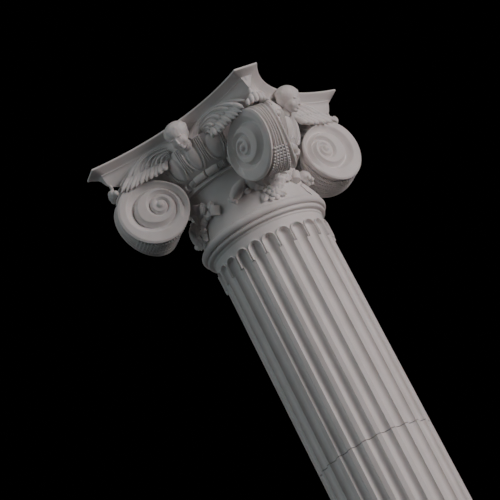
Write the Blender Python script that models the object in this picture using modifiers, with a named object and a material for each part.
"""Ionic column, a white scale model in three stacked sections: capital, shaft and base.

Lengths are metres, +Z is up, and the origin is the middle of the plinth's underside.
Each face of the capital is worked in its own frame: side to side, outwards and up.
"""

import math

import bmesh
import bpy
from mathutils import Matrix, Vector

MM = 0.001

# Stacked sections
SECTION_HEIGHT = 161.5 * MM
SEAM_GAP = 0.3 * MM

# Fluted shaft
SHAFT_TOP_RADIUS = 26.0 * MM
SHAFT_FOOT_RADIUS = 28.3 * MM
FLUTE_COUNT = 24
FLUTE_WIDTH = 5.0 * MM
FLUTE_DEPTH = 1.9 * MM
FLUTE_TOP_DROP = 8.7 * MM
FLUTE_FOOT_RISE = 5.0 * MM

# Mouldings at the top of the shaft, up from the middle of the neck ring
NECK_RING_REACH = 4.0 * MM
NECK_RING_HEIGHT = 4.0 * MM
NECK_FILLET_REACH = 0.6 * MM
NECK_FILLET_HEIGHT = 1.0 * MM
NECK_SWELL_REACH = 1.0 * MM
NECK_WAIST = 1.0 * MM
NECK_HEIGHT = 24.2 * MM
ROUND_SWEEP = math.radians(78)
COLLAR_REACH = 1.4 * MM
COLLAR_HEIGHT = 1.3 * MM

# Beads, eggs and darts between the volutes
BAND_UNITS = 20
NECK_SIDES = 24
BEAD_RADIUS = 1.9 * MM
BEAD_RING_REACH = 1.7 * MM
ECHINUS_FOOT_REACH = 3.0 * MM
ECHINUS_TOP_REACH = 7.6 * MM
EGG_BULGE = 2.6 * MM
BAND_SINK = 0.5 * MM
DART_REACH = 1.6 * MM

# Abacus with four hollow sides and four cut corners
ABACUS_RISE = 53.0 * MM
ABACUS_HEIGHT = 10.6 * MM
ABACUS_MIDDLE = 37.0 * MM
ABACUS_HOLLOW_RADIUS = 80.3 * MM
ABACUS_CORNER = 61.7 * MM
ABACUS_LIP = 0.9 * MM
ABACUS_BAND_HEIGHT = 2.65 * MM
ABACUS_BAND_SET_BACK = 4.0 * MM
ABACUS_COVE_SET_BACK = 6.4 * MM
ABACUS_CORNER_SET_BACK = 3.6 * MM
ABACUS_POINT = 0.3 * MM

# Diagonal volutes
VOLUTE_RADIUS = 14.8 * MM
VOLUTE_DROP = 18.2 * MM
VOLUTE_EYE_IN = 20.1 * MM
VOLUTE_EYE_SIDE = 9.4 * MM
VOLUTE_SPLAY = math.radians(16.8)
VOLUTE_STEPS = 13
VOLUTE_TURNS = 2
LIP_SHARE = 0.93
CREST_START = 0.80
CREST_INNER = 0.86
CREST_FOOT = 0.72
TURN_SHRINK = 0.6
CHANNEL_DEPTH = 1.5 * MM
RIM_HOLLOW = 1.5 * MM
ROOT_IN = 16.0 * MM
ROOT_FOOT_HALF = 5.0 * MM
ROOT_TOP_HALF = 2.5 * MM
ROOT_SINK = 1.0 * MM

# Figures and leaves
HEAD_HEIGHT = 12.0 * MM
HEAD_REACH = 2.4 * MM
WING_SPAN = 35.0 * MM
WING_PROUD = 0.8 * MM
WING_OVERLAP = 1.0 * MM
WING_RISE = 7.0 * MM
WING_DROP = 12.5 * MM
FEATHER_COUNT = 3
LEAF_LENGTH = 10.5 * MM
LEAF_ROOT_IN = 4.0 * MM
LEAF_RISE = 3.5 * MM
LEAF_REACH = 5.0 * MM
LEAF_BACK = 2.4 * MM
LEAF_LOBES = 4
GARLAND_REACH = 1.2 * MM
GARLAND_THICKNESS = 3.6 * MM
GARLAND_LOW = 6.5 * MM
GARLAND_HIGH = 15.0 * MM
GARLAND_SWING = math.radians(38)
GARLAND_KNOTS = 4

# Foot of the column
PLINTH_WIDTH = 77.0 * MM
PLINTH_HEIGHT = 9.0 * MM
BASE_HEIGHT = 28.0 * MM
BASE_SIDES = 20
LOWER_TORUS_REACH = 9.4 * MM
UPPER_TORUS_REACH = 5.4 * MM
SCOTIA_REACH = 2.8 * MM
BASE_FILLET_REACH = 2.2 * MM

COLUMN_HEIGHT = 3 * SECTION_HEIGHT
NECK_LEVEL = COLUMN_HEIGHT - ABACUS_RISE
ABACUS_UNDERSIDE = COLUMN_HEIGHT - ABACUS_HEIGHT
VOLUTE_LEVEL = ABACUS_UNDERSIDE - VOLUTE_DROP
COLLAR_LEVEL = NECK_LEVEL + NECK_HEIGHT
BEAD_RING_RADIUS = SHAFT_TOP_RADIUS + BEAD_RING_REACH
ECHINUS_FOOT_RADIUS = SHAFT_TOP_RADIUS + ECHINUS_FOOT_REACH
ECHINUS_TOP_RADIUS = SHAFT_TOP_RADIUS + ECHINUS_TOP_REACH
GARLAND_RADIUS = SHAFT_TOP_RADIUS + GARLAND_REACH
VOLUTE_EYE_OUT = ABACUS_CORNER - VOLUTE_EYE_IN
HEAD_OUT = ABACUS_MIDDLE + HEAD_REACH
LEAF_ROOT_OUT = ABACUS_CORNER - ABACUS_BAND_SET_BACK - LEAF_ROOT_IN
BEAD_LEVEL = COLLAR_LEVEL + COLLAR_HEIGHT + 0.8 * BEAD_RADIUS
ECHINUS_FOOT = BEAD_LEVEL + 0.7 * BEAD_RADIUS
FACES = [math.radians(90 * i) for i in range(4)]
CORNERS = [math.radians(45 + 90 * i) for i in range(4)]


# Scene and helpers


def clear_scene():
    """Take every object out of the scene."""
    for old in list(bpy.data.objects):
        bpy.data.objects.remove(old, do_unlink=True)


def new_collection(name):
    """Make a collection in the scene."""
    collection = bpy.data.collections.new(name)
    bpy.context.scene.collection.children.link(collection)
    return collection


def plaster(name, colour):
    """Matt white material of one section."""
    material = bpy.data.materials.new(name)
    material.use_nodes = True
    shader = material.node_tree.nodes["Principled BSDF"]
    shader.inputs["Base Color"].default_value = (*colour, 1.0)
    shader.inputs["Roughness"].default_value = 0.6
    shader.inputs["Metallic"].default_value = 0.0
    return material


def mesh_object(name, bm, collection):
    """Turn a bmesh into an object of flat triangles with its faces pointing out."""
    bmesh.ops.triangulate(bm, faces=bm.faces)
    bmesh.ops.recalc_face_normals(bm, faces=bm.faces)
    if bm.calc_volume(signed=True) < 0.0:
        bmesh.ops.reverse_faces(bm, faces=bm.faces)
    mesh = bpy.data.meshes.new(name)
    bm.to_mesh(mesh)
    bm.free()
    thing = bpy.data.objects.new(name, mesh)
    collection.objects.link(thing)
    return thing


def skin(bm, rings, cap=True):
    """Join closed rings of points, in order, and close both ends with fans."""
    rows = [[bm.verts.new(point) for point in ring] for ring in rings]
    count = len(rows[0])
    for low, high in zip(rows, rows[1:]):
        for i in range(count):
            j = (i + 1) % count
            bm.faces.new((low[i], low[j], high[j], high[i]))
    if cap:
        for row in (rows[0], rows[-1]):
            middle = bm.verts.new(sum((vert.co for vert in row), Vector()) / count)
            for i in range(count):
                bm.faces.new((row[i], row[(i + 1) % count], middle))
    return rows


def loft(name, rings, collection):
    """Closed solid through a row of like sections."""
    bm = bmesh.new()
    skin(bm, rings)
    return mesh_object(name, bm, collection)


def turned(name, profile, sides, collection):
    """Turn a profile, given as radius and height from top to bottom, round the axis."""
    mesh = bpy.data.meshes.new(name)
    points = [(0.0, 0.0, profile[0][1])] + [(r, 0.0, z) for r, z in profile]
    points.append((0.0, 0.0, profile[-1][1]))
    edges = [(i, i + 1) for i in range(len(points) - 1)]
    mesh.from_pydata(points, edges, [])
    thing = bpy.data.objects.new(name, mesh)
    collection.objects.link(thing)
    screw = thing.modifiers.new("turn", "SCREW")
    screw.steps = sides
    screw.render_steps = sides
    screw.use_merge_vertices = True
    screw.merge_threshold = 0.00001
    return thing


def arc_points(centre, radius, start, end, steps):
    """Points on an arc in a profile, as radius and height pairs."""
    out = []
    for i in range(steps + 1):
        angle = start + (end - start) * i / steps
        out.append((centre[0] + radius[0] * math.cos(angle), centre[1] + radius[1] * math.sin(angle)))
    return out


def outward(angle):
    """Level unit vector away from the axis."""
    return Vector((math.cos(angle), math.sin(angle), 0.0))


def sideways(angle):
    """Level unit vector to the left of a face, seen from above."""
    return Vector((-math.sin(angle), math.cos(angle), 0.0))


def place(angle, side, out, height):
    """Point in the frame of a face or corner at this angle."""
    return outward(angle) * out + sideways(angle) * side + Vector((0.0, 0.0, height))


def pebble(name, centre, axes, detail, collection):
    """Faceted egg shape: a centre and three half-axes given as vectors."""
    bm = bmesh.new()
    bmesh.ops.create_icosphere(bm, subdivisions=detail, radius=1.0)
    frame = Matrix(axes).transposed()
    for vert in bm.verts:
        vert.co = Vector(centre) + frame @ vert.co
    return mesh_object(name, bm, collection)


# Fluted shaft


def shaft_radius(height):
    """Outer radius of the shaft, which tapers evenly up to the neck ring."""
    share = (height - BASE_HEIGHT) / (NECK_LEVEL - BASE_HEIGHT)
    return SHAFT_FOOT_RADIUS + (SHAFT_TOP_RADIUS - SHAFT_FOOT_RADIUS) * share


def fluted_ring(height, width_share, depth_share):
    """One level section through the shaft, flutes narrowed and shallowed by the shares."""
    radius = shaft_radius(height)
    half = 0.5 * FLUTE_WIDTH / SHAFT_TOP_RADIUS * width_share
    cuts = [(-1.0, 0.0), (-0.45, 0.9), (0.45, 0.9), (1.0, 0.0)]
    ring = []
    for i in range(FLUTE_COUNT):
        middle = 2 * math.pi * (i + 0.5) / FLUTE_COUNT
        for across, deep in cuts:
            angle = middle + across * half
            reach = radius - deep * depth_share * FLUTE_DEPTH
            ring.append((reach * math.cos(angle), reach * math.sin(angle), height))
    return ring


def fluted_levels(bottom, top, foot_end, head_end):
    """Levels and shares down the shaft, with round ends to the flutes where asked."""
    end_radius = 0.5 * FLUTE_WIDTH
    steps = [(0.0, 1.0, 1.0), (0.8, 0.6, 0.6), (1.0, 0.3, 0.0)]
    levels = []
    if foot_end:
        levels.append((bottom, 0.3, 0.0))
        start = BASE_HEIGHT + FLUTE_FOOT_RISE + end_radius
        levels += [(start - rise * end_radius, w, d) for rise, w, d in reversed(steps)]
    else:
        levels.append((bottom, 1.0, 1.0))
    if head_end:
        start = NECK_LEVEL - FLUTE_TOP_DROP - end_radius
        levels += [(start + rise * end_radius, w, d) for rise, w, d in steps]
        levels.append((top, 0.3, 0.0))
    else:
        levels.append((top, 1.0, 1.0))
    return levels


def fluted_shaft(name, bottom, top, collection, foot_end=False, head_end=False):
    """Length of shaft with its flutes."""
    levels = fluted_levels(bottom, top, foot_end, head_end)
    return loft(name, [fluted_ring(*level) for level in levels], collection)


# Neck, beads and echinus


def neck(collection):
    """Turned ring and fillet at the head of the shaft, under a waisted drum."""
    ring = SHAFT_TOP_RADIUS + NECK_RING_REACH
    half = 0.5 * NECK_RING_HEIGHT
    waist = SHAFT_TOP_RADIUS - NECK_WAIST
    swell = SHAFT_TOP_RADIUS + NECK_SWELL_REACH
    fillet = SHAFT_TOP_RADIUS + NECK_FILLET_REACH
    profile = [(waist, BEAD_LEVEL), (waist, NECK_LEVEL + 2.6 * NECK_RING_HEIGHT)]
    profile.append((swell, NECK_LEVEL + 1.3 * NECK_RING_HEIGHT))
    profile += arc_points((ring - half, NECK_LEVEL), (half, half), ROUND_SWEEP, -ROUND_SWEEP, 3)
    profile.append((fillet, NECK_LEVEL - half))
    profile.append((fillet, NECK_LEVEL - half - NECK_FILLET_HEIGHT))
    return turned("neck", profile, NECK_SIDES, collection)


def band_columns():
    """Angles round the bands, each with its swell: 1 on an egg, -1 on a dart, 0 in a hollow."""
    unit = 2 * math.pi / BAND_UNITS
    columns = []
    for face in FACES:
        columns += [(face - 2.2 * unit, 0.0), (face - 1.5 * unit, -1.0)]
        for egg in (-1, 0, 1):
            for share, swell in ((-0.32, 0.0), (-0.15, 1.0), (0.15, 1.0), (0.32, 0.0), (0.5, -1.0)):
                columns.append((face + (egg + share) * unit, swell))
        columns.append((face + 2.2 * unit, 0.0))
    return columns


def bands(collection):
    """Collar, string of barrel beads, and quarter-round of eggs between raised darts."""
    top = ABACUS_UNDERSIDE + 0.1 * ABACUS_HEIGHT
    collar = SHAFT_TOP_RADIUS + COLLAR_REACH
    inside = SHAFT_TOP_RADIUS - NECK_WAIST - BAND_SINK
    rows = [(inside, COLLAR_LEVEL, 0.0, 0.0), (collar, COLLAR_LEVEL, 0.0, 0.0)]
    rows.append((collar, COLLAR_LEVEL + COLLAR_HEIGHT, 0.0, 0.0))
    rows.append((BEAD_RING_RADIUS + BEAD_RADIUS, BEAD_LEVEL, BEAD_RADIUS, 0.0))
    rows.append((ECHINUS_FOOT_RADIUS, ECHINUS_FOOT, 0.0, 0.2))
    spread = ECHINUS_TOP_RADIUS - ECHINUS_FOOT_RADIUS
    for rise, swell in ((0.45, 1.0), (1.0, 0.8)):
        radius = ECHINUS_FOOT_RADIUS + spread * math.sqrt(rise)
        rows.append((radius, ECHINUS_FOOT + (top - ECHINUS_FOOT) * rise, 0.0, swell))
    rings = []
    for radius, height, bead, relief in rows:
        ring = []
        for angle, swell in band_columns():
            raised = EGG_BULGE * swell if swell > 0 else -DART_REACH * swell
            notch = 0.45 * bead if swell > 0 else 0.0
            ring.append(place(angle, 0.0, radius - notch + raised * relief, height))
        rings.append(ring)
    return loft("bands", rings, collection)


# Abacus


def abacus_outline(side_set_back, corner_set_back, height, steps=6):
    """Level section through the abacus: four hollow arcs and four short corners."""
    centre = ABACUS_MIDDLE + ABACUS_HOLLOW_RADIUS
    radius = ABACUS_HOLLOW_RADIUS + side_set_back
    corner = ABACUS_CORNER - corner_set_back
    # The corner line meets the arc where side to side and outward places add up to it
    level = centre * math.sqrt(0.5)
    reach = math.sqrt(max(radius**2 - (corner - level) ** 2, 0.0))
    half = level - reach
    if half < ABACUS_POINT:
        half = ABACUS_POINT
        corner = level - math.sqrt(radius**2 - (level - half) ** 2)
    along = (corner - half) * math.sqrt(0.5)
    swing = math.asin(min(along / radius, 1.0))
    ring = []
    for face in FACES:
        for i in range(steps + 1):
            angle = swing * (2 * i / steps - 1)
            side = radius * math.sin(angle)
            out = centre - radius * math.cos(angle)
            ring.append(place(face, side, out, height))
    return ring


def abacus(collection):
    """Abacus with a lip, a sloped band and a cove down to the corner points."""
    top = COLUMN_HEIGHT
    band = top - ABACUS_LIP - ABACUS_BAND_HEIGHT
    cove = band - ABACUS_UNDERSIDE
    set_back = ABACUS_BAND_SET_BACK
    levels = [(0.0, 0.0, top), (0.0, 0.0, top - ABACUS_LIP), (set_back, set_back, band)]
    for share, inward, corner in ((0.33, 0.22, 0.15), (0.67, 0.5, 0.55), (1.0, 1.0, 1.0)):
        side = set_back + ABACUS_COVE_SET_BACK * inward
        point = set_back + ABACUS_CORNER_SET_BACK * corner
        levels.append((side, point, band - cove * share))
    rings = [abacus_outline(*level) for level in reversed(levels)]
    return loft("abacus", rings, collection)


# Volutes


def volute_outline(turn):
    """Reach of the scroll's edge from its eye, by the angle up from straight out."""
    shape = 1.0 + 0.266 * math.cos(turn) + 0.048 * math.sin(turn)
    return VOLUTE_RADIUS * (shape + 0.058 * math.sin(2 * turn))


def volute_point(corner, face, turn, share, lift):
    """Point on a scroll's face: share of the edge's reach, and lift off the face."""
    reach = volute_outline(turn) * share
    along = reach * math.cos(turn)
    up = reach * math.sin(turn)
    splay = VOLUTE_SPLAY
    out = VOLUTE_EYE_OUT + along * math.cos(splay) + lift * math.sin(splay)
    side = VOLUTE_EYE_SIDE - along * math.sin(splay) + lift * math.cos(splay)
    return place(corner, face * side, out, VOLUTE_LEVEL + up)


def faces_between(bm, first, second):
    """Join two equal rows of corners, leaving out a corner that both share."""
    for i in range(len(first) - 1):
        loop = list(dict.fromkeys((first[i], first[i + 1], second[i + 1], second[i])))
        if len(loop) > 2:
            bm.faces.new(loop)


def volute_face(bm, corner, face):
    """Scrolled face of a volute, and the loop of its edge."""
    n = VOLUTE_STEPS
    last = VOLUTE_TURNS * n

    def row(share, depth, i):
        angle = math.radians(90) - 2 * math.pi * i / n
        return bm.verts.new(volute_point(corner, face, angle, share, -depth))

    crest = [CREST_START * TURN_SHRINK ** (i / n) for i in range(last + 1)]
    edge = [row(1.0, 0.0, i) for i in range(n)]
    lip = [row(LIP_SHARE, 0.0, i) for i in range(n)]
    trough = [row(0.5 * (LIP_SHARE + crest[i]), CHANNEL_DEPTH, i) for i in range(1, n + 1)]
    outer = [row(crest[i], 0.0, i) for i in range(1, last)]
    inner = [row(crest[i] * CREST_INNER, 0.0, i) for i in range(1, last)]
    channel = [row(crest[i] * CREST_FOOT, CHANNEL_DEPTH, i) for i in range(1, last - n)]
    eye = row(0.0, -0.2 * CHANNEL_DEPTH, 0)
    # The ridge rises out of the channel at its start and runs into the turn before at its end
    start = trough[-1]
    finish = inner[last - n - 1]
    outer = [start] + outer + [finish]
    inner = [start] + inner + [finish]
    channel = [start] + channel + [finish]
    faces_between(bm, edge + edge[:1], lip + lip[:1])
    faces_between(bm, lip + lip[:1], [start] + trough)
    faces_between(bm, [start] + trough, outer[: n + 1])
    faces_between(bm, outer, inner)
    faces_between(bm, inner[: last - n + 1], channel)
    faces_between(bm, channel, outer[n:])
    faces_between(bm, inner[last - n :], [eye] * (n + 1))
    return edge


def volute(corner, collection):
    """Thick scroll on a corner, with a hollowed rim between its two faces."""
    bm = bmesh.new()
    loops = [volute_face(bm, corner, face) for face in (1, -1)]
    n = VOLUTE_STEPS
    rows = [loops[0]]
    for across, hollow in ((0.45, 1.0), (-0.45, 1.0)):
        row = []
        for i in range(n):
            angle = math.radians(90) - 2 * math.pi * i / n
            share = 1.0 - hollow * RIM_HOLLOW / VOLUTE_RADIUS
            left = volute_point(corner, 1, angle, share, 0.0)
            right = volute_point(corner, -1, angle, share, 0.0)
            row.append(bm.verts.new(left.lerp(right, 0.5 - 0.5 * across)))
        rows.append(row)
    rows.append(loops[1])
    for low, high in zip(rows, rows[1:]):
        for i in range(n):
            j = (i + 1) % n
            bm.faces.new((low[i], low[j], high[j], high[i]))
    return mesh_object("volute", bm, collection)


def volute_root(corner, collection):
    """Sloped root that ties the top of a volute to the underside of the abacus."""
    foot = VOLUTE_LEVEL + 0.75 * VOLUTE_RADIUS
    top = ABACUS_UNDERSIDE + ROOT_SINK
    rings = []
    for out in (VOLUTE_EYE_OUT - ROOT_IN, LEAF_ROOT_OUT):
        ring = [place(corner, side, out, foot) for side in (-ROOT_FOOT_HALF, ROOT_FOOT_HALF)]
        ring += [place(corner, side, out, top) for side in (ROOT_TOP_HALF, -ROOT_TOP_HALF)]
        rings.append(ring)
    return loft("volute root", rings, collection)


def corner_leaf(corner, collection):
    """Fan of lobes from the abacus point down over the rim of the volute."""
    level = ABACUS_UNDERSIDE + LEAF_RISE
    rings = []
    stations = 2 * LEAF_LOBES
    for i in range(stations + 1):
        spread = math.radians(75) * (2 * i / stations - 1)
        length = LEAF_LENGTH * (1.0 if i % 2 else 0.88)
        side = 0.5 * length * math.sin(spread)
        fall = length * (0.6 + 0.4 * math.cos(spread))
        reach = LEAF_REACH * (1.0 if i % 2 else 0.7)
        ring = []
        for share, out in ((0.0, -LEAF_BACK), (0.0, 0.4 * LEAF_REACH), (0.9, reach), (1.0, -LEAF_BACK)):
            across = side * (0.25 + 0.75 * share)
            ring.append(place(corner, across, LEAF_ROOT_OUT + out, level - fall * share))
        rings.append(ring)
    return loft("corner leaf", rings, collection)


# Winged heads


def head(face, collection):
    """Round head that leans out over the middle of a face, on a small chest."""
    level = COLUMN_HEIGHT - 0.52 * HEAD_HEIGHT
    lean = math.radians(18)
    up = Vector((0, 0, 1)) * math.cos(lean) + outward(face) * math.sin(lean)
    front = outward(face) * math.cos(lean) - Vector((0, 0, 1)) * math.sin(lean)
    across = sideways(face)
    centre = place(face, 0.0, HEAD_OUT, level)
    size = 0.5 * HEAD_HEIGHT
    skull = pebble("head", centre, (across * 0.88 * size, front * 0.92 * size, up * size), 2, collection)
    for vert in skull.data.vertices:
        low = -(vert.co - centre).dot(up) / size
        if low > 0.1:
            vert.co -= across * (vert.co - centre).dot(across) * 0.45 * low
            vert.co += front * 0.1 * size * low
    chest = place(face, 0.0, HEAD_OUT - 1.05 * size, level - 0.6 * size)
    axes = (across * 0.8 * size, outward(face) * size, Vector((0, 0, 0.8 * size)))
    pebble("chest", chest, axes, 1, collection)


def wing(face, hand, collection):
    """Wing that sweeps along the cove and hangs its feathers over the volute."""
    rings = []
    stations = 2 * FEATHER_COUNT
    centre = ABACUS_MIDDLE + ABACUS_HOLLOW_RADIUS
    for i in range(stations + 1):
        share = i / stations
        side = WING_SPAN * share - WING_OVERLAP * (1.0 - share)
        hollow = centre - math.sqrt(ABACUS_HOLLOW_RADIUS**2 - side**2)
        back = hollow - ABACUS_BAND_SET_BACK - ABACUS_COVE_SET_BACK - WING_OVERLAP
        rise = math.sin(math.pi * min(1.0, 0.25 + 0.75 * share))
        top = ABACUS_UNDERSIDE - 0.5 * WING_OVERLAP + WING_RISE * rise
        long = WING_DROP * (0.35 + 0.65 * rise) * (1.0 if i % 2 else 0.78)
        front = hollow - ABACUS_BAND_SET_BACK + WING_PROUD * (1.0 if i % 2 else 0.4)
        ring = [(back, top), (front, top - 0.2 * long), (front - 0.3 * WING_PROUD, top - long)]
        ring.append((back, top - 0.85 * long))
        rings.append([place(face, hand * side, out, height) for out, height in ring])
    return loft("wing", rings, collection)


# Garlands on the neck


def garland(corner, collection):
    """Swag of leaves and flowers that hangs on the neck under a volute."""
    rings = []
    stations = 2 * GARLAND_KNOTS
    for i in range(stations + 1):
        share = 2 * i / stations - 1
        angle = corner + GARLAND_SWING * share
        height = NECK_LEVEL + GARLAND_LOW + (GARLAND_HIGH - GARLAND_LOW) * abs(share) ** 1.5
        size = GARLAND_THICKNESS * (1.0 - 0.3 * abs(share)) * (1.0 if i % 2 else 0.55)
        ring = []
        for k in range(4):
            turn = 2 * math.pi * k / 4
            lean = size * math.sin(turn) * 0.8
            tilt = 0.5 * share * size * math.sin(turn)
            out = GARLAND_RADIUS + 0.75 * size * math.cos(turn)
            ring.append(place(angle - tilt / GARLAND_RADIUS, 0.0, out, height + lean))
        rings.append(ring)
    return loft("garland", rings, collection)


# Foot of the column


def base_mouldings(collection):
    """Turned base: fillet, upper torus, hollow and lower torus, over the plinth."""
    height = BASE_HEIGHT - PLINTH_HEIGHT
    foot = SHAFT_FOOT_RADIUS
    lower = 0.21 * height
    upper = 0.14 * height
    profile = [(foot, BASE_HEIGHT + 0.1 * height), (foot + BASE_FILLET_REACH, BASE_HEIGHT - 0.04 * height)]
    profile.append((foot + BASE_FILLET_REACH, BASE_HEIGHT - 0.1 * height))
    middle = (foot + UPPER_TORUS_REACH - upper, BASE_HEIGHT - 0.1 * height - upper)
    profile += arc_points(middle, (upper, upper), ROUND_SWEEP, -ROUND_SWEEP, 3)
    hollow_top = BASE_HEIGHT - 0.1 * height - 2 * upper
    hollow_foot = PLINTH_HEIGHT + 2 * lower
    hollow = (foot + SCOTIA_REACH, 0.5 * (hollow_top + hollow_foot))
    profile.append((foot + UPPER_TORUS_REACH - 0.8 * upper, hollow_top - 0.05 * height))
    profile.append(hollow)
    profile.append((foot + LOWER_TORUS_REACH - lower, hollow_foot + 0.05 * height))
    profile += arc_points((foot + LOWER_TORUS_REACH - lower, PLINTH_HEIGHT + lower), (lower, lower), ROUND_SWEEP, -ROUND_SWEEP, 3)
    profile.append((foot, PLINTH_HEIGHT - 0.3 * PLINTH_HEIGHT))
    return turned("base mouldings", profile, BASE_SIDES, collection)


def plinth(name, collection):
    """Square plinth under the base."""
    bm = bmesh.new()
    bmesh.ops.create_cube(bm, size=1.0)
    bmesh.ops.scale(bm, vec=(PLINTH_WIDTH, PLINTH_WIDTH, PLINTH_HEIGHT), verts=bm.verts)
    bmesh.ops.translate(bm, vec=(0.0, 0.0, 0.5 * PLINTH_HEIGHT), verts=bm.verts)
    return mesh_object(name, bm, collection)


# Sections


def fuse(body, parts):
    """Join a body with everything in a collection of its parts."""
    for thing in parts.objects:
        thing.hide_render = True
        thing.display_type = "WIRE"
    union = body.modifiers.new("fuse", "BOOLEAN")
    union.operation = "UNION"
    union.operand_type = "COLLECTION"
    union.collection = parts
    union.solver = "EXACT"
    return body


def capital_section(column):
    """Capital and the top of the shaft, made in one."""
    parts = new_collection("capital parts")
    bottom = 2 * SECTION_HEIGHT + 0.5 * SEAM_GAP
    body = fluted_shaft("capital_section", bottom, NECK_LEVEL, column, head_end=True)
    neck(parts)
    bands(parts)
    abacus(parts)
    for corner in CORNERS:
        volute(corner, parts)
        volute_root(corner, parts)
        corner_leaf(corner, parts)
        garland(corner, parts)
    for face in FACES:
        head(face, parts)
        for hand in (1, -1):
            wing(face, hand, parts)
    return fuse(body, parts)


def shaft_section(column):
    """Plain fluted middle of the shaft."""
    bottom = SECTION_HEIGHT + 0.5 * SEAM_GAP
    top = 2 * SECTION_HEIGHT - 0.5 * SEAM_GAP
    return fluted_shaft("shaft_section", bottom, top, column)


def base_section(column):
    """Foot of the shaft, its mouldings and the plinth, made in one."""
    parts = new_collection("base parts")
    body = plinth("base_section", column)
    base_mouldings(parts)
    top = SECTION_HEIGHT - 0.5 * SEAM_GAP
    fluted_shaft("shaft foot", PLINTH_HEIGHT + 0.3 * (BASE_HEIGHT - PLINTH_HEIGHT), top, parts, foot_end=True)
    return fuse(body, parts)


def main():
    """Build the three sections of the column."""
    clear_scene()
    column = new_collection("ionic column")
    white = (0.86, 0.85, 0.84)
    for make in (capital_section, shaft_section, base_section):
        section = make(column)
        section.data.materials.append(plaster(section.name + " white", white))


main()
